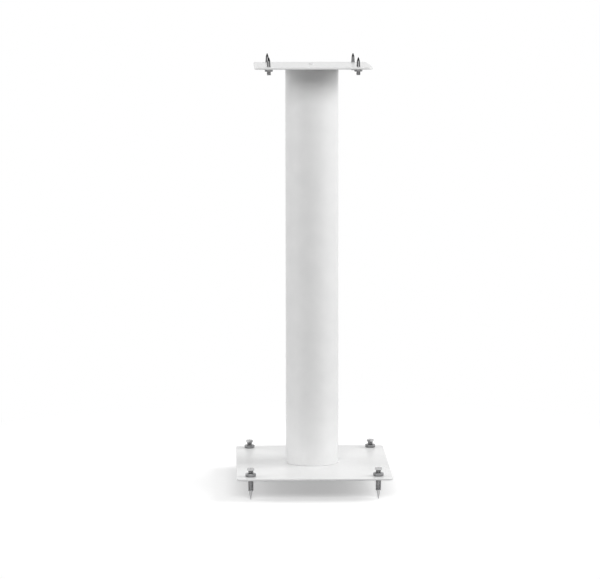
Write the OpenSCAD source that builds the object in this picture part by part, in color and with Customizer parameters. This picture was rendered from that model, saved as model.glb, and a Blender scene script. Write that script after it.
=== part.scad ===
// Speaker stand: a round steel column between two flat steel plates, on four floor spikes, with four spikes
// on top that carry the speaker. The origin is on the column's axis at floor level, +Z is up and the
// stand's front faces -Y.

/* [Base plate] */
// Width of the base plate, along X
base_w = 220; // [180:1:280]
// Depth of the base plate, along Y
base_d = 270; // [200:1:320]
// Thickness of the base plate
base_t = 3; // [2:0.5:8]
// Corner radius of the base plate
base_corner_r = 8; // [2:0.5:18]
// Height of the base plate's underside above the floor
base_clear = 30; // [24:1:45]
// Distance of each floor spike from the two plate edges next to it
floor_spike_inset = 20; // [12:1:35]

/* [Top plate] */
// Width of the top plate, along X
top_w = 165; // [140:1:240]
// Depth of the top plate, along Y
top_d = 210; // [150:1:280]
// Thickness of the top plate
top_t = 3; // [2:0.5:8]
// Corner radius of the top plate
top_corner_r = 8; // [2:0.5:18]
// Distance of each top spike from the two plate edges next to it
top_spike_inset = 20; // [12:1:30]

/* [Column] */
// Outer diameter of the column tube
column_d = 76; // [60:1:90]
// Wall of the column tube
column_wall = 2; // [1.2:0.1:4]
// Length of the column tube, plate to plate
column_len = 571; // [300:1:900]
// Chamfer on the outer edge at each end of the tube
column_edge = 0.6; // [0.2:0.1:1]
// Thickness of the disc that is welded into the tube's foot
foot_disc_t = 8; // [5:0.5:12]
// Thickness of the disc that is welded into the tube's head
head_disc_t = 8; // [5:0.5:12]

/* [Floor spikes] */
// Thread diameter of the floor spikes and their locknuts
floor_thread_d = 8; // [7:0.5:10]
// Length of a floor spike's cone
floor_cone_len = 12; // [8:0.5:16]
// Diameter of that cone where the thread ends
floor_cone_d = 5.8; // [4:0.1:6.5]
// Width across flats of the head that turns a floor spike
spike_head_w = 10; // [9.5:0.5:12]
// Height of that head
spike_head_h = 3; // [2:0.5:6]
// Bare thread between a floor spike's locknut and its head
spike_neck_h = 4; // [2:0.5:8]
// Width across flats of the floor locknuts
floor_nut_w = 13; // [12.5:0.5:16]
// Height of a floor locknut
floor_nut_h = 5; // [3:0.5:8]

/* [Top spikes] */
// Thread diameter of the top spikes and their locknuts
top_thread_d = 6; // [5.5:0.5:7]
// Length of a top spike's cone, from its thread to its tip
top_cone_len = 13; // [10:0.5:18]
// Diameter of that cone where the thread ends
top_cone_d = 5.2; // [4.6:0.1:5.4]
// Diameter of the cone where its slow taper turns into the point
top_point_d = 4.2; // [3:0.1:4.5]
// Length of the point
top_point_len = 4.5; // [3:0.5:8]
// Cylindrical thread that shows above the top plate before the cone starts
top_thread_rise = 0.5; // [0.2:0.1:3]
// Bare thread below a top spike's locknut
top_stub_h = 5; // [2:0.2:8]
// Width across flats of the top locknuts
top_nut_w = 10; // [9.5:0.5:12]
// Height of a top locknut
top_nut_h = 3.5; // [3:0.5:6]

/* [Tips] */
// Diameter of the small flat that blunts every spike's tip
tip_d = 1.2; // [0.6:0.1:2]

/* [Screws] */
// Number of screws through the base plate into the column's foot
base_screw_count = 3; // [3:1:6]
// Diameter of the circle that they lie on
base_screw_pcd = 44; // [30:1:46]
// Thread diameter of the base screws
base_screw_d = 6; // [4:1:8]
// Length of a base screw under its head
base_screw_len = 12; // [10:1:14]
// Head diameter of the base screws
base_screw_head_d = 10.5; // [9:0.5:14]
// Head height of the base screws
base_screw_head_h = 3.3; // [2.5:0.1:5]
// Width across flats of the base screws' sockets
base_socket_w = 4; // [3:0.5:5]
// Outer diameter of the washers under the base screws' heads
washer_d = 12; // [11.5:0.5:16]
// Thickness of those washers
washer_t = 1.6; // [1:0.1:2.5]
// Thread diameter of the screw in the middle of the top plate
top_screw_d = 5; // [4:0.5:8]
// Length of the top screw under its head
top_screw_len = 10; // [8:1:12]
// Head diameter of the top screw
top_screw_head_d = 8.5; // [8.5:0.5:14]
// Head height of the top screw
top_screw_head_h = 2.4; // [1.5:0.1:4]
// Width across flats of the top screw's socket
top_socket_w = 3; // [2:0.5:4]

/* [Fits] */
// Radial gap between a thread and the hole that it runs in
thread_gap = 0.05; // [0.02:0.01:0.1]
// Radial gap of a screw's clearance hole in a plate or washer
screw_gap = 0.25; // [0.1:0.05:0.5]
// Radial gap between a welded disc and the tube round it
weld_gap = 0.05; // [0.02:0.01:0.2]

/* [Hidden] */
$fn = 96;

// Overrun of every cut past the face that it opens
cut = 1;
// A corner is a pair of signs, along X and along Y
front_left = [-1, -1];
front_right = [1, -1];
back_left = [-1, 1];
back_right = [1, 1];
corners = [front_left, front_right, back_left, back_right];

// Heights of the stack, from the floor up
base_top_z = base_clear + base_t;
column_top_z = base_top_z + column_len;
top_face_z = column_top_z + top_t;

// Places of the spikes, as half spacings
floor_half = [base_w / 2 - floor_spike_inset, base_d / 2 - floor_spike_inset];
top_half = [top_w / 2 - top_spike_inset, top_d / 2 - top_spike_inset];

column_r = column_d / 2;
column_bore_r = column_r - column_wall;
disc_r = column_bore_r - weld_gap;
floor_thread_r = floor_thread_d / 2;
floor_hole_r = floor_thread_r + thread_gap;
floor_cone_r = floor_cone_d / 2;
top_thread_r = top_thread_d / 2;
top_hole_r = top_thread_r + thread_gap;
top_cone_r = top_cone_d / 2;
tip_r = tip_d / 2;
spike_head_z = base_top_z + floor_nut_h + spike_neck_h;
top_stub_z = column_top_z - top_nut_h - top_stub_h;
top_cone_z = top_face_z + top_thread_rise;
base_screw_r = base_screw_d / 2;
base_screw_head_z = base_clear - washer_t;
top_screw_r = top_screw_d / 2;
// A hexagon's corners stand further out than its flats by this share
hex_corner_share = 1 / cos(30);
// The edge break of a hexagon, as a share of its width across flats
hex_break_share = 0.04;
// A screw head's crown is as wide as this share of the head, and its side as high as this share
crown_width_share = 0.6;
crown_side_share = 0.35;
// A screw's socket is as deep as this share of the head's height
socket_depth_share = 0.6;

// Colours
powder_white = [0.93, 0.93, 0.92];
nickel = [0.62, 0.62, 0.63];
zinc = [0.72, 0.73, 0.74];
bare_steel = [0.45, 0.46, 0.47];

// A rectangle with round corners, centred on the origin
module rounded_rectangle(w, d, r) {
    square([w - 2 * r, d], center = true);
    square([w, d - 2 * r], center = true);
    for (s = corners)
        translate([s[0] * (w / 2 - r), s[1] * (d / 2 - r)])
            circle(r);
}

// Places children at one corner of a spike pattern
module at_corner(s, half) {
    translate([s[0] * half[0], s[1] * half[1], 0])
        children();
}

// Places children round the circle of base screws
module at_base_screws() {
    for (i = [0 : base_screw_count - 1])
        rotate([0, 0, 90 + i * 360 / base_screw_count])
            translate([base_screw_pcd / 2, 0, 0])
                children();
}

// A hexagonal prism with its corners broken at both ends
module hex_bar(w, h) {
    corner_r = w / 2 * hex_corner_share;
    edge = w * hex_break_share;
    intersection() {
        cylinder(r = corner_r, h = h, $fn = 6);
        rotate_extrude()
            polygon([
                [0, 0], [corner_r - 2 * edge, 0], [corner_r, edge],
                [corner_r, h - edge], [corner_r - 2 * edge, h], [0, h]
            ]);
    }
}

// A crowned screw head standing on z = 0, with a hexagonal socket in its crown
module screw_head(head_d, head_h, socket_w) {
    head_r = head_d / 2;
    depth = head_h * socket_depth_share;
    difference() {
        rotate_extrude()
            polygon([
                [0, 0], [head_r, 0], [head_r, head_h * crown_side_share],
                [head_r * crown_width_share, head_h], [0, head_h]
            ]);
        translate([0, 0, head_h - depth])
            cylinder(r = socket_w / 2 * hex_corner_share, h = depth + cut, $fn = 6);
    }
}

// A hexagonal locknut standing on z = 0, with the hole that its spike runs in
module locknut(w, h, hole_r) {
    difference() {
        hex_bar(w, h);
        translate([0, 0, -cut])
            cylinder(r = hole_r, h = h + 2 * cut);
    }
}

module base_plate() {
    color(powder_white)
        difference() {
            translate([0, 0, base_clear])
                linear_extrude(base_t)
                    rounded_rectangle(base_w, base_d, base_corner_r);
            for (s = corners)
                at_corner(s, floor_half)
                    translate([0, 0, base_clear - cut])
                        cylinder(r = floor_hole_r, h = base_t + 2 * cut);
            at_base_screws()
                translate([0, 0, base_clear - cut])
                    cylinder(r = base_screw_r + screw_gap, h = base_t + 2 * cut);
        }
}

module top_plate() {
    color(powder_white)
        difference() {
            translate([0, 0, column_top_z])
                linear_extrude(top_t)
                    rounded_rectangle(top_w, top_d, top_corner_r);
            for (s = corners)
                at_corner(s, top_half)
                    translate([0, 0, column_top_z - cut])
                        cylinder(r = top_hole_r, h = top_t + 2 * cut);
            translate([0, 0, column_top_z - cut])
                cylinder(r = top_screw_r + screw_gap, h = top_t + 2 * cut);
        }
}

module column_tube() {
    color(powder_white)
        translate([0, 0, base_top_z])
            rotate_extrude()
                polygon([
                    [column_bore_r, 0], [column_r - column_edge, 0], [column_r, column_edge],
                    [column_r, column_len - column_edge], [column_r - column_edge, column_len],
                    [column_bore_r, column_len]
                ]);
}

module column_foot_disc() {
    color(bare_steel)
        translate([0, 0, base_top_z])
            difference() {
                cylinder(r = disc_r, h = foot_disc_t);
                at_base_screws()
                    translate([0, 0, -cut])
                        cylinder(r = base_screw_r + thread_gap, h = foot_disc_t + 2 * cut);
            }
}

module column_head_disc() {
    color(bare_steel)
        translate([0, 0, column_top_z - head_disc_t])
            difference() {
                cylinder(r = disc_r, h = head_disc_t);
                translate([0, 0, -cut])
                    cylinder(r = top_screw_r + thread_gap, h = head_disc_t + 2 * cut);
            }
}

// The base screws go in from below, so their heads hang under the base plate
module base_screws() {
    color(zinc)
        at_base_screws()
            translate([0, 0, base_screw_head_z]) {
                cylinder(r = base_screw_r, h = base_screw_len);
                rotate([180, 0, 0])
                    screw_head(base_screw_head_d, base_screw_head_h, base_socket_w);
            }
}

module base_washers() {
    color(zinc)
        at_base_screws()
            translate([0, 0, base_screw_head_z])
                difference() {
                    cylinder(d = washer_d, h = washer_t);
                    translate([0, 0, -cut])
                        cylinder(r = base_screw_r + screw_gap, h = washer_t + 2 * cut);
                }
}

module top_screw() {
    color(powder_white)
        translate([0, 0, top_face_z]) {
            translate([0, 0, -top_screw_len])
                cylinder(r = top_screw_r, h = top_screw_len);
            screw_head(top_screw_head_d, top_screw_head_h, top_socket_w);
        }
}

// A floor spike stands on its tip and goes up through the base plate and its locknut to its head. A short
// chamfer joins the cone to the wider thread, and the head's flats face the stand's sides.
module floor_spike(s) {
    thread_z = floor_cone_len + floor_thread_r - floor_cone_r;
    color(nickel)
        at_corner(s, floor_half) {
            rotate_extrude()
                polygon([
                    [0, 0], [tip_r, 0], [floor_cone_r, floor_cone_len],
                    [floor_thread_r, thread_z], [0, thread_z]
                ]);
            translate([0, 0, thread_z])
                cylinder(r = floor_thread_r, h = spike_head_z - thread_z);
            translate([0, 0, spike_head_z])
                rotate([0, 0, 30])
                    hex_bar(spike_head_w, spike_head_h);
        }
}

// A floor locknut sits on the base plate
module floor_locknut(s) {
    color(nickel)
        at_corner(s, floor_half)
            translate([0, 0, base_top_z])
                locknut(floor_nut_w, floor_nut_h, floor_hole_r);
}

// A top spike points up, tapers slowly and then to its point. Its thread goes down through the top plate and
// its locknut.
module top_spike(s) {
    tip_z = top_cone_z + top_cone_len;
    thread_top_z = top_cone_z - top_thread_r + top_cone_r;
    color(nickel)
        at_corner(s, top_half) {
            rotate_extrude()
                polygon([
                    [0, thread_top_z], [top_thread_r, thread_top_z], [top_cone_r, top_cone_z],
                    [top_point_d / 2, tip_z - top_point_len], [tip_r, tip_z], [0, tip_z]
                ]);
            translate([0, 0, top_stub_z])
                cylinder(r = top_thread_r, h = thread_top_z - top_stub_z);
        }
}

// A top locknut sits against the underside of the top plate
module top_locknut(s) {
    color(nickel)
        at_corner(s, top_half)
            translate([0, 0, column_top_z - top_nut_h])
                locknut(top_nut_w, top_nut_h, top_hole_r);
}

base_plate();
top_plate();
column_tube();
column_foot_disc();
column_head_disc();
base_screws();
base_washers();
top_screw();
floor_spike(front_left);  // floor_spike_front_left
floor_spike(front_right);  // floor_spike_front_right
floor_spike(back_left);  // floor_spike_back_left
floor_spike(back_right);  // floor_spike_back_right
floor_locknut(front_left);  // floor_locknut_front_left
floor_locknut(front_right);  // floor_locknut_front_right
floor_locknut(back_left);  // floor_locknut_back_left
floor_locknut(back_right);  // floor_locknut_back_right
top_spike(front_left);  // top_spike_front_left
top_spike(front_right);  // top_spike_front_right
top_spike(back_left);  // top_spike_back_left
top_spike(back_right);  // top_spike_back_right
top_locknut(front_left);  // top_locknut_front_left
top_locknut(front_right);  // top_locknut_front_right
top_locknut(back_left);  // top_locknut_back_left
top_locknut(back_right);  // top_locknut_back_right
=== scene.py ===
import math

import bmesh
import bpy
from mathutils import Matrix, Vector


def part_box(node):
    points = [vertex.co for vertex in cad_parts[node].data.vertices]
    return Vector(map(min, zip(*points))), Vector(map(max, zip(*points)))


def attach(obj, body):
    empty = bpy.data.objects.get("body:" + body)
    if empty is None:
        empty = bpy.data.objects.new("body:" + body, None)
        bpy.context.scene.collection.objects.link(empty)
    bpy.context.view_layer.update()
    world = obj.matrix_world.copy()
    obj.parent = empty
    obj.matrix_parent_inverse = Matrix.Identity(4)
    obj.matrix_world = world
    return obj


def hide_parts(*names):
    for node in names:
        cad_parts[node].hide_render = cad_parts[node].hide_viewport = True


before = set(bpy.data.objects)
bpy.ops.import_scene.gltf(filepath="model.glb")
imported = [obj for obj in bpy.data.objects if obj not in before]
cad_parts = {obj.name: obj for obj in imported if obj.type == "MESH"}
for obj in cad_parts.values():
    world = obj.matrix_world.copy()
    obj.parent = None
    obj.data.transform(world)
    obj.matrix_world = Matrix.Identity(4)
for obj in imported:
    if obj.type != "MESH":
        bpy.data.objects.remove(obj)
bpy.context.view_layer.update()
scene = bpy.context.scene
mm = 0.001
cornerNames = ["front_left", "front_right", "back_left", "back_right"]
print("stage: frame loaded with", len(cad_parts), "nodes")


# Mesh helpers

weld = {"distance": 0.002 * mm, "smoothBelow": 32, "coatSmoothBelow": 40}  # angles in degrees
hexShape = {"cornerShare": 0.985, "faceShare": 0.475, "chamferSlope": 0.5}


def finishShape(piece, smoothBelow):
    # closes seams and poles, turns every face outwards and keeps only real edges sharp
    work = bmesh.new()
    work.from_mesh(piece.data)
    bmesh.ops.remove_doubles(work, verts=work.verts, dist=weld["distance"])
    bmesh.ops.recalc_face_normals(work, faces=work.faces)
    work.to_mesh(piece.data)
    work.free()
    piece.data.shade_smooth()
    piece.data.set_sharp_from_angle(angle=math.radians(smoothBelow))


def addObject(name, mesh, material):
    piece = bpy.data.objects.new(name, mesh)
    scene.collection.objects.link(piece)
    mesh.materials.append(material)
    return piece


def circlePoint(centre, radius, angle):
    return centre[0] + radius * math.cos(angle), centre[1] + radius * math.sin(angle)


def loftRings(name, rings, centre, material, closed=False, smoothBelow=weld["smoothBelow"]):
    # each ring is a list of (radius, height) pairs, one for each step round the axis
    steps, count = len(rings[0]), len(rings)
    points = []
    for ring in rings:
        for step, (radius, height) in enumerate(ring):
            points.append((*circlePoint(centre, radius, 2 * math.pi * step / steps), height))
    faces = []
    for index in range(count if closed else count - 1):
        first, second = index * steps, (index + 1) % count * steps
        for step in range(steps):
            after = (step + 1) % steps
            faces.append((first + step, first + after, second + after, second + step))
    mesh = bpy.data.meshes.new(name)
    mesh.from_pydata(points, [], faces)
    piece = addObject(name, mesh, material)
    finishShape(piece, smoothBelow)
    return piece


def roundRing(radius, height, steps):
    return [(radius, height)] * steps


def bevel(edge, steps):
    # inset and drop of each line of points over a rounded edge, from the end face round to the side
    turns = [math.radians(90 * step / steps) for step in range(steps + 1)]
    return [(edge * (1 - math.sin(turn)), edge * (1 - math.cos(turn))) for turn in turns]


def hexRadius(step, steps, width, turn=0):
    # distance from the axis to a hexagon with slightly broken corners, one of which lies at that turn from +X
    sixth = math.radians(60)
    angle = (2 * math.pi * step / steps - turn) % sixth
    flat = width / 2
    return min(flat / math.cos(angle - sixth / 2), flat / math.cos(sixth / 2) * hexShape["cornerShare"])


def hexFace(width, height, steps, rise, turn=0):
    # the edge where a hexagon meets its cone-shaped chamfer; rise is 1 on the upper end and -1 on the lower
    ring = []
    for step in range(steps):
        radius = hexRadius(step, steps, width, turn)
        over = max(0.0, radius - width * hexShape["faceShare"])
        ring.append((radius, height - rise * over * hexShape["chamferSlope"]))
    return ring


def boxFacts(node):
    low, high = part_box(node)
    centre = ((low[0] + high[0]) / 2, (low[1] + high[1]) / 2)
    return low, high, centre


def dress(piece, body, slotName, *nodes):
    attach(piece, body)
    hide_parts(*nodes)


# Node helpers

noiseBand = (0.3, 0.7)  # where most of a noise texture's values lie


def mathNode(tree, operation, first, second=None, clamp=False):
    node = tree.nodes.new("ShaderNodeMath")
    node.operation = operation
    node.use_clamp = clamp
    for socket, value in zip(node.inputs, (first, second)):
        if isinstance(value, (int, float)):
            socket.default_value = value
        elif value is not None:
            tree.links.new(value, socket)
    return node.outputs[0]


def addNoise(tree, vector, scale, detail):
    noise = tree.nodes.new("ShaderNodeTexNoise")
    noise.inputs["Scale"].default_value = scale
    noise.inputs["Detail"].default_value = detail
    tree.links.new(vector, noise.inputs["Vector"])
    return noise.outputs["Fac"]


def addRange(tree, value, low, high):
    # spreads a noise over the whole way from low to high
    spread = tree.nodes.new("ShaderNodeMapRange")
    spread.inputs["From Min"].default_value = noiseBand[0]
    spread.inputs["From Max"].default_value = noiseBand[1]
    spread.inputs["To Min"].default_value = low
    spread.inputs["To Max"].default_value = high
    tree.links.new(value, spread.inputs["Value"])
    return spread.outputs["Result"]


def addTint(tree, value, dark, light):
    tint = tree.nodes.new("ShaderNodeMix")
    tint.data_type = "RGBA"
    tint.inputs["A"].default_value = (*dark, 1)
    tint.inputs["B"].default_value = (*light, 1)
    tree.links.new(value, tint.inputs["Factor"])
    return tint.outputs["Result"]


def addBump(tree, height, strength, distance, below=None):
    bump = tree.nodes.new("ShaderNodeBump")
    bump.inputs["Strength"].default_value = strength
    bump.inputs["Distance"].default_value = distance
    tree.links.new(height, bump.inputs["Height"])
    if below is not None:
        tree.links.new(below, bump.inputs["Normal"])
    return bump.outputs["Normal"]


def stretched(tree, vector, scale):
    mapping = tree.nodes.new("ShaderNodeMapping")
    mapping.inputs["Scale"].default_value = scale
    tree.links.new(vector, mapping.inputs["Vector"])
    return mapping.outputs["Vector"]


# Materials

powderCoat = {
    "dark": (0.800, 0.801, 0.800), "light": (0.835, 0.835, 0.833), "screwShade": 0.9,
    "smoothest": 0.24, "roughest": 0.34, "gloss": 0.2,
    "mottleScale": 38.0, "mottleDetail": 3,
    "peelScale": 620.0, "peelDetail": 2, "peelStrength": 0.10, "peelDepth": 0.06 * mm,
    "grainScale": 2600.0, "grainDetail": 3, "grainStrength": 0.10, "grainDepth": 0.02 * mm,
}
turnedMetal = {
    "ringStretch": (0.05, 0.05, 1.0), "ringDetail": 4, "ringStrength": 0.35,
    "stainScale": 240.0, "stainDetail": 3,
    "scratchStretch": (1.0, 1.0, 0.15), "scratchScale": 3200.0, "scratchDetail": 2,
}
metalFinishes = {
    "spike": {
        "name": "nickelSpike", "dark": (0.42, 0.42, 0.425), "light": (0.52, 0.52, 0.525),
        "smoothest": 0.10, "roughest": 0.20, "ringScale": 5200.0, "ringDepth": 0.02 * mm,
    },
    # the nuts' tone is nickel's own, darkened a little as painted shade for the nuts under the top plate
    "nut": {
        "name": "nickelNutWithPaintedShade", "dark": (0.23, 0.23, 0.234), "light": (0.33, 0.33, 0.335),
        "smoothest": 0.10, "roughest": 0.20, "ringScale": 2600.0, "ringDepth": 0.015 * mm,
    },
    "zinc": {
        "name": "clearZinc", "dark": (0.50, 0.51, 0.53), "light": (0.62, 0.63, 0.65),
        "smoothest": 0.28, "roughest": 0.42, "ringScale": 1800.0, "ringDepth": 0.015 * mm,
    },
    "bare": {
        "name": "sawnSteel", "dark": (0.24, 0.24, 0.245), "light": (0.36, 0.36, 0.365),
        "smoothest": 0.40, "roughest": 0.58, "ringScale": 900.0, "ringDepth": 0.05 * mm,
    },
}


def startMaterial(name):
    material = bpy.data.materials.new(name)
    material.use_nodes = True
    tree = material.node_tree
    place = tree.nodes.new("ShaderNodeTexCoord")
    return material, tree, tree.nodes["Principled BSDF"], place.outputs["Object"]


def makePowderCoat(name, shade=1.0):
    # satin powder coat: an orange-peel skin with a fine grain in it
    material, tree, shader, place = startMaterial(name)
    mottle = addNoise(tree, place, powderCoat["mottleScale"], powderCoat["mottleDetail"])
    peel = addNoise(tree, place, powderCoat["peelScale"], powderCoat["peelDetail"])
    grain = addNoise(tree, place, powderCoat["grainScale"], powderCoat["grainDetail"])
    tone = addRange(tree, mottle, 0.0, 1.0)
    dark = [shade * part for part in powderCoat["dark"]]
    light = [shade * part for part in powderCoat["light"]]
    tree.links.new(addTint(tree, tone, dark, light), shader.inputs["Base Color"])
    shader.inputs["Specular IOR Level"].default_value = powderCoat["gloss"]
    roughness = addRange(tree, grain, powderCoat["smoothest"], powderCoat["roughest"])
    tree.links.new(roughness, shader.inputs["Roughness"])
    skin = addBump(tree, peel, powderCoat["peelStrength"], powderCoat["peelDepth"])
    skin = addBump(tree, grain, powderCoat["grainStrength"], powderCoat["grainDepth"], skin)
    tree.links.new(skin, shader.inputs["Normal"])
    return material


def makeTurnedMetal(finish):
    # steel off a lathe: fine rings square to the axis, with small stains and scratches
    material, tree, shader, place = startMaterial(finish["name"])
    shader.inputs["Metallic"].default_value = 1.0
    flat = stretched(tree, place, turnedMetal["ringStretch"])
    long = stretched(tree, place, turnedMetal["scratchStretch"])
    rings = addNoise(tree, flat, finish["ringScale"], turnedMetal["ringDetail"])
    stain = addNoise(tree, place, turnedMetal["stainScale"], turnedMetal["stainDetail"])
    scratch = addNoise(tree, long, turnedMetal["scratchScale"], turnedMetal["scratchDetail"])
    tone = addRange(tree, stain, 0.0, 1.0)
    tree.links.new(addTint(tree, tone, finish["dark"], finish["light"]), shader.inputs["Base Color"])
    roughness = addRange(tree, scratch, finish["smoothest"], finish["roughest"])
    tree.links.new(roughness, shader.inputs["Roughness"])
    skin = addBump(tree, rings, turnedMetal["ringStrength"], finish["ringDepth"])
    tree.links.new(skin, shader.inputs["Normal"])
    return material


materials = {
    "powder": makePowderCoat("satinPowderCoat"),
    "whiteScrew": makePowderCoat("paintedScrewHead", powderCoat["screwShade"]),
}
for label, finish in metalFinishes.items():
    materials[label] = makeTurnedMetal(finish)
print("stage: materials made")


# Geometry Nodes: one tree cuts threads, one sets screws and washers on a circle

threadForm = {"crestShare": 0.125, "flankGain": 1.25, "shankShare": 0.01}


def startTree(name, inputs):
    tree = bpy.data.node_groups.new(name, "GeometryNodeTree")
    tree.interface.new_socket("Geometry", in_out="INPUT", socket_type="NodeSocketGeometry")
    tree.interface.new_socket("Geometry", in_out="OUTPUT", socket_type="NodeSocketGeometry")
    for label, kind in inputs:
        tree.interface.new_socket(label, in_out="INPUT", socket_type=kind)
    source = tree.nodes.new("NodeGroupInput")
    target = tree.nodes.new("NodeGroupOutput")
    return tree, source, target


def endTree(tree, source, target, geometry):
    realize = tree.nodes.new("GeometryNodeRealizeInstances")
    paint = tree.nodes.new("GeometryNodeSetMaterial")
    tree.links.new(geometry, realize.inputs["Geometry"])
    tree.links.new(realize.outputs["Geometry"], paint.inputs["Geometry"])
    tree.links.new(source.outputs["Material"], paint.inputs["Material"])
    tree.links.new(paint.outputs["Geometry"], target.inputs["Geometry"])
    return tree


def makeThreadTree():
    # moves the points of a plain shank inwards along a helix, and leaves what is thinner or wider alone
    tree, source, target = startTree("threadCutter", [
        ("Axis X", "NodeSocketFloat"), ("Axis Y", "NodeSocketFloat"), ("Radius", "NodeSocketFloat"),
        ("Pitch", "NodeSocketFloat"), ("Depth", "NodeSocketFloat"), ("Low", "NodeSocketFloat"),
        ("High", "NodeSocketFloat"), ("Run Out", "NodeSocketFloat"), ("Material", "NodeSocketMaterial"),
    ])
    value = source.outputs

    def calc(operation, first, second=None, clamp=False):
        return mathNode(tree, operation, first, second, clamp)

    where = tree.nodes.new("GeometryNodeInputPosition")
    parts = tree.nodes.new("ShaderNodeSeparateXYZ")
    tree.links.new(where.outputs["Position"], parts.inputs["Vector"])
    outX = calc("SUBTRACT", parts.outputs["X"], value["Axis X"])
    outY = calc("SUBTRACT", parts.outputs["Y"], value["Axis Y"])
    height = parts.outputs["Z"]
    radius = calc("SQRT", calc("ADD", calc("MULTIPLY", outX, outX), calc("MULTIPLY", outY, outY)))
    turn = calc("DIVIDE", calc("ARCTAN2", outY, outX), 2 * math.pi)
    phase = calc("SUBTRACT", calc("DIVIDE", height, value["Pitch"]), turn)
    wave = calc("MULTIPLY", calc("PINGPONG", phase, 0.5), 2.0)  # 0 on a crest and 1 in a root
    depth = calc("SUBTRACT", wave, threadForm["crestShare"])
    groove = calc("MULTIPLY", depth, threadForm["flankGain"], clamp=True)
    fromLow = calc("DIVIDE", calc("SUBTRACT", height, value["Low"]), value["Run Out"], clamp=True)
    toHigh = calc("DIVIDE", calc("SUBTRACT", value["High"], height), value["Run Out"], clamp=True)
    offRound = calc("ABSOLUTE", calc("SUBTRACT", radius, value["Radius"]))
    onShank = calc("LESS_THAN", offRound, calc("MULTIPLY", value["Radius"], threadForm["shankShare"]))
    reach = calc("MULTIPLY", calc("MULTIPLY", fromLow, toHigh), onShank)
    cut = calc("MULTIPLY", calc("MULTIPLY", groove, reach), value["Depth"])
    share = calc("DIVIDE", cut, value["Radius"])
    offset = tree.nodes.new("ShaderNodeCombineXYZ")
    tree.links.new(calc("MULTIPLY", calc("MULTIPLY", outX, share), -1.0), offset.inputs["X"])
    tree.links.new(calc("MULTIPLY", calc("MULTIPLY", outY, share), -1.0), offset.inputs["Y"])
    move = tree.nodes.new("GeometryNodeSetPosition")
    tree.links.new(value["Geometry"], move.inputs["Geometry"])
    tree.links.new(offset.outputs["Vector"], move.inputs["Offset"])
    return endTree(tree, source, target, move.outputs["Geometry"])


def makeCircleTree():
    # copies one upright piece round a circle of screws
    tree, source, target = startTree("screwCircle", [
        ("Count", "NodeSocketInt"), ("Circle Radius", "NodeSocketFloat"), ("Start Angle", "NodeSocketFloat"),
        ("Material", "NodeSocketMaterial"),
    ])
    ring = tree.nodes.new("GeometryNodeMeshCircle")
    spin = tree.nodes.new("GeometryNodeTransform")
    turn = tree.nodes.new("ShaderNodeCombineXYZ")
    copies = tree.nodes.new("GeometryNodeInstanceOnPoints")
    tree.links.new(source.outputs["Count"], ring.inputs["Vertices"])
    tree.links.new(source.outputs["Circle Radius"], ring.inputs["Radius"])
    tree.links.new(source.outputs["Start Angle"], turn.inputs["Z"])
    tree.links.new(turn.outputs["Vector"], spin.inputs["Rotation"])
    tree.links.new(ring.outputs["Mesh"], spin.inputs["Geometry"])
    tree.links.new(spin.outputs["Geometry"], copies.inputs["Points"])
    tree.links.new(source.outputs["Geometry"], copies.inputs["Instance"])
    return endTree(tree, source, target, copies.outputs["Instances"])


def applyTree(piece, tree, values):
    # runs a tree on a piece and keeps the result as a plain mesh
    modifier = piece.modifiers.new(tree.name, "NODES")
    modifier.node_group = tree
    for item in tree.interface.items_tree:
        if item.in_out == "INPUT" and item.name in values:
            modifier[item.identifier] = values[item.name]
    evaluated = piece.evaluated_get(bpy.context.evaluated_depsgraph_get())
    mesh = bpy.data.meshes.new_from_object(evaluated)
    piece.modifiers.remove(modifier)
    piece.data = mesh
    finishShape(piece, weld["smoothBelow"])


threadTree = makeThreadTree()
circleTree = makeCircleTree()


# Plates

plateShape = {
    "edge": 0.9 * mm, "holeEdge": 0.5 * mm, "edgeSteps": 6, "rim": 0.4 * mm,
    "cornerSteps": 14, "holeSteps": 48,
}
basePlate = {"cornerRadius": 8 * mm, "spikeInset": 20 * mm, "spikeHole": 4.05 * mm}
topPlate = {"cornerRadius": 8 * mm, "spikeInset": 20 * mm, "spikeHole": 3.05 * mm, "screwHole": 2.75 * mm}
baseScrews = {"count": 3, "circle": 22 * mm, "startAngle": math.radians(90), "hole": 3.25 * mm}


def plateOutline(width, depth, corner, inset):
    points = []
    for quarter, (signX, signY) in enumerate([(1, 1), (-1, 1), (-1, -1), (1, -1)]):
        middle = (signX * (width / 2 - corner), signY * (depth / 2 - corner))
        for step in range(plateShape["cornerSteps"] + 1):
            angle = math.radians(90 * (quarter + step / plateShape["cornerSteps"]))
            points.append(circlePoint(middle, corner - inset, angle))
    return points


def holeOutline(centre, radius, inset):
    steps = plateShape["holeSteps"]
    return [circlePoint(centre, radius + inset, 2 * math.pi * step / steps) for step in range(steps)]


def edgeLevels(low, high, edge):
    # inset and height of each line of points over the rounded edge, from the upper face to the lower;
    # a flat rim keeps the soft shading of the edge off the wide face
    upper = [(edge + plateShape["rim"], high)]
    upper += [(inset, high - drop) for inset, drop in bevel(edge, plateShape["edgeSteps"])]
    lower = [(inset, low + high - height) for inset, height in reversed(upper)]
    return upper + lower


def addWall(work, rows, upperEdges, lowerEdges):
    # a closed wall of faces through the plate; each row is a line of points and its height
    loops = [[work.verts.new((x, y, height)) for x, y in points] for points, height in rows]
    for above, below in zip(loops, loops[1:]):
        for index in range(len(above)):
            after = (index + 1) % len(above)
            work.faces.new((above[index], above[after], below[after], below[index]))
    for loop, edges in ((loops[0], upperEdges), (loops[-1], lowerEdges)):
        for index, point in enumerate(loop):
            edges.append(work.edges.get((point, loop[(index + 1) % len(loop)])))


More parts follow.
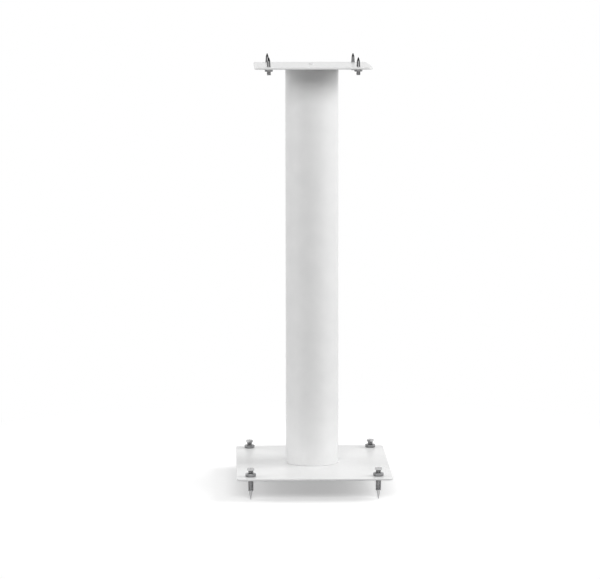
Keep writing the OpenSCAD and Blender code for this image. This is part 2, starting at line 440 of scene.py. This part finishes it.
def makePlate(name, node, sizes, holes):
    low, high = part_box(node)
    width, depth = high[0] - low[0], high[1] - low[1]
    work = bmesh.new()
    upperEdges, lowerEdges = [], []
    levels = edgeLevels(low[2], high[2], plateShape["edge"])
    rows = [(plateOutline(width, depth, sizes["cornerRadius"], inset), height) for inset, height in levels]
    addWall(work, rows, upperEdges, lowerEdges)
    levels = edgeLevels(low[2], high[2], plateShape["holeEdge"])
    for place, radius in holes:
        rows = [(holeOutline(place, radius, inset), height) for inset, height in levels]
        addWall(work, rows, upperEdges, lowerEdges)
    bmesh.ops.triangle_fill(work, use_beauty=True, edges=upperEdges)
    bmesh.ops.triangle_fill(work, use_beauty=True, edges=lowerEdges)
    mesh = bpy.data.meshes.new(name)
    work.to_mesh(mesh)
    work.free()
    piece = addObject(name, mesh, materials["powder"])
    finishShape(piece, weld["coatSmoothBelow"])
    dress(piece, "stand", "white_powder_coat", node)


def spikeHoles(node, sizes):
    low, high, centre = boxFacts(node)
    halfX = high[0] - centre[0] - sizes["spikeInset"]
    halfY = high[1] - centre[1] - sizes["spikeInset"]
    return [((sx * halfX, sy * halfY), sizes["spikeHole"]) for sx in (-1, 1) for sy in (-1, 1)]


def screwHoles():
    count, reach = baseScrews["count"], baseScrews["circle"]
    turns = [baseScrews["startAngle"] + 2 * math.pi * index / count for index in range(count)]
    return [(circlePoint((0, 0), reach, turn), baseScrews["hole"]) for turn in turns]


topScrewHole = ((0, 0), topPlate["screwHole"])
makePlate("basePlate", "base_plate", basePlate, spikeHoles("base_plate", basePlate) + screwHoles())
makePlate("topPlate", "top_plate", topPlate, spikeHoles("top_plate", topPlate) + [topScrewHole])
print("stage: plates made")


# Column

column = {"steps": 160, "wall": 2 * mm, "edge": 0.6 * mm, "edgeSteps": 4, "bands": 24}


def makeColumn():
    low, high, centre = boxFacts("column_tube")
    outer = (high[0] - low[0]) / 2
    inner = outer - column["wall"]
    edge, steps, bands = column["edge"], column["steps"], column["bands"]
    corner = bevel(edge, column["edgeSteps"])
    straight = high[2] - low[2] - 2 * edge
    rings = [roundRing(inner, low[2], steps)]
    rings += [roundRing(outer - inset, low[2] + drop, steps) for inset, drop in corner]
    rings += [roundRing(outer, low[2] + edge + straight * band / bands, steps) for band in range(1, bands)]
    rings += [roundRing(outer - inset, high[2] - drop, steps) for inset, drop in reversed(corner)]
    rings.append(roundRing(inner, high[2], steps))
    smoothBelow = weld["coatSmoothBelow"]
    piece = loftRings("columnTube", rings, centre, materials["powder"], closed=True, smoothBelow=smoothBelow)
    dress(piece, "stand", "white_powder_coat", "column_tube")


makeColumn()
for disc in ("column_foot_disc", "column_head_disc"):
    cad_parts[disc].data.materials.clear()
    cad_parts[disc].data.materials.append(materials["bare"])
print("stage: column made")


# Spikes

spikeShape = {"steps": 72, "ringsPerTurn": 10, "tipRound": 0.3 * mm, "coneRings": 12}
floorSpike = {
    "radius": 4 * mm, "pitch": 1.25 * mm, "depth": 0.68 * mm, "runOut": 1.1 * mm,
    "tip": 0.6 * mm, "coneRadius": 2.9 * mm, "cone": 12 * mm,
    "headWidth": 10 * mm, "headHeight": 3 * mm, "headTurn": math.radians(30), "dimple": 1.2 * mm,
}
topSpike = {
    "radius": 3 * mm, "pitch": 1.0 * mm, "depth": 0.54 * mm, "runOut": 0.9 * mm,
    "tip": 0.6 * mm, "pointRadius": 2.1 * mm, "point": 4.5 * mm, "coneRadius": 2.6 * mm, "cone": 13 * mm,
    "endChamfer": 0.5 * mm,
}


def tipRings(sizes, tipZ, direction):
    # the small flat that blunts a tip; direction is 1 for tip down and -1 for tip up
    steps, soft = spikeShape["steps"], spikeShape["tipRound"]
    return [
        roundRing(0, tipZ, steps), roundRing(sizes["tip"] - soft, tipZ, steps),
        roundRing(sizes["tip"], tipZ + direction * soft, steps),
    ]


def taperRings(startRadius, startZ, endRadius, endZ):
    rings = []
    for index in range(1, spikeShape["coneRings"] + 1):
        share = index / spikeShape["coneRings"]
        radius = startRadius + (endRadius - startRadius) * share
        rings.append(roundRing(radius, startZ + (endZ - startZ) * share, spikeShape["steps"]))
    return rings


def shankRings(sizes, start, end):
    count = max(2, int(abs(end - start) / sizes["pitch"] * spikeShape["ringsPerTurn"]))
    radius, steps = sizes["radius"], spikeShape["steps"]
    return [roundRing(radius, start + (end - start) * index / count, steps) for index in range(count + 1)]


def headRings(low, high):
    # the hexagonal head that turns a floor spike, with a lathe's centre mark in its top
    steps, width, turn = spikeShape["steps"], floorSpike["headWidth"], floorSpike["headTurn"]
    face = width * hexShape["faceShare"]
    return [
        roundRing(face, low, steps), hexFace(width, low, steps, -1, turn),
        hexFace(width, high, steps, 1, turn), roundRing(face, high, steps),
        roundRing(floorSpike["dimple"], high, steps), roundRing(0, high - floorSpike["dimple"], steps),
    ]


def threadValues(sizes, centre, low, high):
    return {
        "Axis X": centre[0], "Axis Y": centre[1], "Radius": sizes["radius"], "Pitch": sizes["pitch"],
        "Depth": sizes["depth"], "Low": low, "High": high, "Run Out": sizes["runOut"],
        "Material": materials["spike"],
    }


def makeFloorSpike(corner):
    node = "floor_spike_" + corner
    low, high, centre = boxFacts(node)
    coneZ = low[2] + floorSpike["cone"]
    start = coneZ + floorSpike["radius"] - floorSpike["coneRadius"]
    headLow = high[2] - floorSpike["headHeight"]
    rings = tipRings(floorSpike, low[2], 1)
    rings += taperRings(floorSpike["tip"], low[2] + spikeShape["tipRound"], floorSpike["coneRadius"], coneZ)
    rings += shankRings(floorSpike, start, headLow) + headRings(headLow, high[2])
    piece = loftRings("floorSpike." + corner, rings, centre, materials["spike"])
    applyTree(piece, threadTree, threadValues(floorSpike, centre, start, headLow))
    dress(piece, node, "spike_nickel", node)


def makeTopSpike(corner):
    node = "top_spike_" + corner
    low, high, centre = boxFacts(node)
    pointZ, coneZ = high[2] - topSpike["point"], high[2] - topSpike["cone"]
    start = coneZ - topSpike["radius"] + topSpike["coneRadius"]
    rings = tipRings(topSpike, high[2], -1)
    rings += taperRings(topSpike["tip"], high[2] - spikeShape["tipRound"], topSpike["pointRadius"], pointZ)
    rings += taperRings(topSpike["pointRadius"], pointZ, topSpike["coneRadius"], coneZ)
    rings += shankRings(topSpike, start, low[2] + topSpike["endChamfer"])
    rings.append(roundRing(topSpike["radius"] - topSpike["endChamfer"], low[2], spikeShape["steps"]))
    rings.append(roundRing(0, low[2], spikeShape["steps"]))
    piece = loftRings("topSpike." + corner, rings, centre, materials["spike"])
    # the thread runs out of the lower end at full depth
    applyTree(piece, threadTree, threadValues(topSpike, centre, low[2] - topSpike["runOut"], start))
    dress(piece, node, "spike_nickel", node)


# Locknuts

nutSteps = 96
floorNut = {"width": 13 * mm, "bore": 4.05 * mm, "boreChamfer": 0.5 * mm}
topNut = {"width": 10 * mm, "bore": 3.05 * mm, "boreChamfer": 0.4 * mm}


def makeLocknut(kind, corner, sizes):
    node = kind + "_locknut_" + corner
    low, high, centre = boxFacts(node)
    width, bore, chamfer = sizes["width"], sizes["bore"], sizes["boreChamfer"]
    mouth, face = bore + chamfer, width * hexShape["faceShare"]
    rings = [
        roundRing(mouth, low[2], nutSteps), roundRing(bore, low[2] + chamfer, nutSteps),
        roundRing(bore, high[2] - chamfer, nutSteps), roundRing(mouth, high[2], nutSteps),
        roundRing(face, high[2], nutSteps), hexFace(width, high[2], nutSteps, 1),
        hexFace(width, low[2], nutSteps, -1), roundRing(face, low[2], nutSteps),
    ]
    piece = loftRings(kind + "Locknut." + corner, rings, centre, materials["nut"], closed=True)
    dress(piece, node, "nut_nickel", node)


for corner in cornerNames:
    makeFloorSpike(corner)
    makeTopSpike(corner)
    makeLocknut("floor", corner, floorNut)
    makeLocknut("top", corner, topNut)
print("stage: spikes and locknuts made")


# Screws and washers

screwShape = {
    "steps": 72, "rings": 40, "radiusPerChamfer": 6,
    "sideShare": 0.30, "crownShare": 0.52, "crownSteps": 6, "socketDepthShare": 0.6,
}
baseScrew = {"radius": 3 * mm, "headHeight": 3.3 * mm, "headRadius": 5.25 * mm, "socket": 4 * mm}
topScrew = {"radius": 2.5 * mm, "headHeight": 2.4 * mm, "headRadius": 4.25 * mm, "socket": 3 * mm}
washer = {"hole": 3.25 * mm, "edge": 0.25 * mm}


def screwRings(sizes, seat, end, direction):
    # from the end of the shank to the bottom of the socket; direction is 1 for a head on top, else -1
    steps, count = screwShape["steps"], screwShape["rings"]
    headRadius, headHeight = sizes["headRadius"], sizes["headHeight"]
    chamfer = sizes["radius"] / screwShape["radiusPerChamfer"]
    start = end + direction * chamfer
    rings = [roundRing(0, end, steps), roundRing(sizes["radius"] - chamfer, end, steps)]
    for index in range(count + 1):
        rings.append(roundRing(sizes["radius"], start + (seat - start) * index / count, steps))
    rings.append(roundRing(headRadius, seat, steps))
    side = headHeight * screwShape["sideShare"]
    crown = headRadius * screwShape["crownShare"]
    for step in range(screwShape["crownSteps"] + 1):
        turn = math.radians(90 * step / screwShape["crownSteps"])
        radius = crown + (headRadius - crown) * math.cos(turn)
        rise = side + (headHeight - side) * math.sin(turn)
        rings.append(roundRing(radius, seat + direction * rise, steps))
    top = seat + direction * headHeight
    floor = top - direction * headHeight * screwShape["socketDepthShare"]
    socket = [hexRadius(step, steps, sizes["socket"]) for step in range(steps)]
    rings += [[(radius, top) for radius in socket], [(radius, floor) for radius in socket]]
    rings.append(roundRing(0, floor, steps))
    return rings


def circleValues():
    return {
        "Count": baseScrews["count"], "Circle Radius": baseScrews["circle"],
        "Start Angle": baseScrews["startAngle"], "Material": materials["zinc"],
    }


def makeTopScrew():
    low, high, centre = boxFacts("top_screw")
    rings = screwRings(topScrew, high[2] - topScrew["headHeight"], low[2], 1)
    piece = loftRings("topScrew", rings, centre, materials["whiteScrew"])
    dress(piece, "stand", "white_screw", "top_screw")


def makeBaseScrews():
    low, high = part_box("base_screws")
    rings = screwRings(baseScrew, low[2] + baseScrew["headHeight"], high[2], -1)
    piece = loftRings("baseScrews", rings, (0, 0), materials["zinc"])
    applyTree(piece, circleTree, circleValues())
    dress(piece, "stand", "zinc_plate", "base_screws")


def makeBaseWashers():
    low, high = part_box("base_washers")
    outer = high[0] - max(place[0] for place, radius in screwHoles())
    edge, hole, steps = washer["edge"], washer["hole"], screwShape["steps"]
    rings = [
        roundRing(hole, low[2], steps), roundRing(outer - edge, low[2], steps),
        roundRing(outer, low[2] + edge, steps), roundRing(outer, high[2] - edge, steps),
        roundRing(outer - edge, high[2], steps), roundRing(hole, high[2], steps),
    ]
    piece = loftRings("baseWashers", rings, (0, 0), materials["zinc"], closed=True)
    applyTree(piece, circleTree, circleValues())
    dress(piece, "stand", "zinc_plate", "base_washers")


makeTopScrew()
makeBaseScrews()
makeBaseWashers()
print("stage: screws and washers made")


# Floor, background and lights

studio = {
    "ambient": 0.36, "white": 1.0,
    "floorHalf": 6.0, "floorTone": 0.8, "floorBounce": 0.28, "floorLift": 0.36,
    "fadeStart": 0.45, "fadeEnd": 0.75,
    "lookAt": (0, 0, 0.3), "wallTone": 0.05, "wallRoughness": 1.0,
}
lamps = [
    {"name": "rightSoftbox", "place": (2.0, -0.05, 1.35), "size": (1.7, 1.5), "power": 37.0},
    {"name": "leftSoftbox", "place": (-2.0, 0.25, 0.85), "size": (1.5, 1.3), "power": 19.0},
    {"name": "frontSoftbox", "place": (0.0, -2.8, 1.9), "size": (2.2, 1.2), "power": 55.0},
]
# a wall that shades also keeps the background's light off the stand; the others only show in the metal
darkWalls = [
    {"name": "wallBehind", "from": (4.5, -4.6), "to": (-4.5, -4.6), "heights": (1.5, 9.0), "shades": True},
    {"name": "wallLeft", "from": (-3.0, -4.6), "to": (-3.0, 1.5), "heights": (0.0, 6.0), "shades": False},
    {"name": "wallRight", "from": (3.0, 1.5), "to": (3.0, -4.6), "heights": (0.0, 6.0), "shades": False},
]


def seenDirectly(tree):
    # 1 for camera, glossy and transmission rays
    rays = tree.nodes.new("ShaderNodeLightPath")
    seen = mathNode(tree, "MAXIMUM", rays.outputs["Is Camera Ray"], rays.outputs["Is Glossy Ray"])
    return mathNode(tree, "MAXIMUM", seen, rays.outputs["Is Transmission Ray"])


def mixShaders(tree, share, first, second):
    choose = tree.nodes.new("ShaderNodeMixShader")
    tree.links.new(share, choose.inputs["Fac"])
    tree.links.new(first, choose.inputs[1])
    tree.links.new(second, choose.inputs[2])
    return choose.outputs[0]


def makeWorld():
    # soft light on the stand, and plain white where the background is seen
    world = bpy.data.worlds.new("whiteStudio")
    scene.world = world
    world.use_nodes = True
    tree = world.node_tree
    soft = tree.nodes["Background"]
    white = tree.nodes.new("ShaderNodeBackground")
    for background, strength in ((soft, studio["ambient"]), (white, studio["white"])):
        background.inputs["Color"].default_value = (1, 1, 1, 1)
        background.inputs["Strength"].default_value = strength
    mixed = mixShaders(tree, seenDirectly(tree), soft.outputs[0], white.outputs[0])
    tree.links.new(mixed, tree.nodes["World Output"].inputs["Surface"])


def makeFloorMaterial():
    # the floor looks lighter than what it throws back on the stand
    material = bpy.data.materials.new("studioFloor")
    material.use_nodes = True
    tree = material.node_tree
    tree.nodes.clear()
    output = tree.nodes.new("ShaderNodeOutputMaterial")
    seen = seenDirectly(tree)
    tone = tree.nodes.new("ShaderNodeMapRange")
    tone.inputs["To Min"].default_value = studio["floorBounce"]
    tone.inputs["To Max"].default_value = studio["floorTone"]
    tree.links.new(seen, tone.inputs["Value"])
    paint = tree.nodes.new("ShaderNodeBsdfDiffuse")
    tree.links.new(tone.outputs["Result"], paint.inputs["Color"])
    lift = tree.nodes.new("ShaderNodeEmission")
    tree.links.new(mathNode(tree, "MULTIPLY", seen, studio["floorLift"]), lift.inputs["Strength"])
    both = tree.nodes.new("ShaderNodeAddShader")
    tree.links.new(paint.outputs[0], both.inputs[0])
    tree.links.new(lift.outputs[0], both.inputs[1])
    # away from the stand the floor turns to the plain white of the background
    place = tree.nodes.new("ShaderNodeTexCoord")
    length = tree.nodes.new("ShaderNodeVectorMath")
    length.operation = "LENGTH"
    tree.links.new(place.outputs["Object"], length.inputs[0])
    fade = tree.nodes.new("ShaderNodeMapRange")
    fade.interpolation_type = "SMOOTHSTEP"
    fade.inputs["From Min"].default_value = studio["fadeStart"]
    fade.inputs["From Max"].default_value = studio["fadeEnd"]
    tree.links.new(length.outputs["Value"], fade.inputs["Value"])
    white = tree.nodes.new("ShaderNodeEmission")
    white.inputs["Strength"].default_value = studio["white"]
    far = mathNode(tree, "MULTIPLY", fade.outputs["Result"], seen)
    mixed = mixShaders(tree, far, both.outputs[0], white.outputs[0])
    tree.links.new(mixed, output.inputs["Surface"])
    return material


def addSheet(name, corners, material):
    mesh = bpy.data.meshes.new(name)
    mesh.from_pydata(corners, [], [(0, 1, 2, 3)])
    sheet = addObject(name, mesh, material)
    return sheet


def makeFloor():
    half = studio["floorHalf"]
    corners = [(-half, -half, 0), (half, -half, 0), (half, half, 0), (-half, half, 0)]
    addSheet("floor", corners, makeFloorMaterial())


def makeLamps():
    for facts in lamps:
        data = bpy.data.lights.new(facts["name"], "AREA")
        data.shape = "RECTANGLE"
        data.size, data.size_y = facts["size"]
        data.energy = facts["power"]
        lamp = bpy.data.objects.new(facts["name"], data)
        lamp.location = facts["place"]
        aim = Vector(studio["lookAt"]) - Vector(facts["place"])
        lamp.rotation_euler = aim.to_track_quat("-Z", "Y").to_euler()
        lamp.visible_glossy = False  # small metal parts would drown in the lamps' own reflections
        scene.collection.objects.link(lamp)


def makeDarkWalls():
    # the dark parts of the room, which the metal shows and the camera doesn't
    material = bpy.data.materials.new("darkWall")
    material.use_nodes = True
    shader = material.node_tree.nodes["Principled BSDF"]
    shader.inputs["Base Color"].default_value = (*[studio["wallTone"]] * 3, 1)
    shader.inputs["Roughness"].default_value = studio["wallRoughness"]
    for facts in darkWalls:
        start, end, (bottom, top) = facts["from"], facts["to"], facts["heights"]
        corners = [(*start, bottom), (*end, bottom), (*end, top), (*start, top)]
        wall = addSheet(facts["name"], corners, material)
        wall.visible_camera = False
        wall.visible_diffuse = facts["shades"]
        wall.visible_shadow = facts["shades"]


makeWorld()
makeFloor()
makeLamps()
makeDarkWalls()


# Camera

camera = {
    "focalPixels": 2769.0, "imageWidth": 600.0, "sensor": 36.0, "near": 0.1, "far": 60.0,
    "distance": 3.957, "height": 0.7597,
    "azimuth": -0.02927, "aim": 0.00437, "pitch": 0.1196, "roll": -0.00146,  # in radians
}


def makeCamera():
    data = bpy.data.cameras.new("photoCamera")
    data.sensor_width = camera["sensor"]
    data.lens = camera["focalPixels"] / camera["imageWidth"] * camera["sensor"]
    data.clip_start, data.clip_end = camera["near"], camera["far"]
    eye = bpy.data.objects.new("photoCamera", data)
    azimuth, pitch, roll = camera["azimuth"], camera["pitch"], camera["roll"]
    heading = azimuth + camera["aim"]
    ahead = Vector((
        -math.sin(heading) * math.cos(pitch), math.cos(heading) * math.cos(pitch), -math.sin(pitch),
    ))
    level = Vector((math.cos(heading), math.sin(heading), 0))
    upright = level.cross(ahead)
    right = math.cos(roll) * level + math.sin(roll) * upright
    up = math.cos(roll) * upright - math.sin(roll) * level
    turn = Matrix((right, up, -ahead)).transposed().to_4x4()
    reach = camera["distance"]
    place = Vector((reach * math.sin(azimuth), -reach * math.cos(azimuth), camera["height"]))
    eye.matrix_world = Matrix.Translation(place) @ turn
    scene.collection.objects.link(eye)
    scene.camera = eye


makeCamera()
scene.view_settings.view_transform = "Standard"
print("stage: floor, lights and camera made")
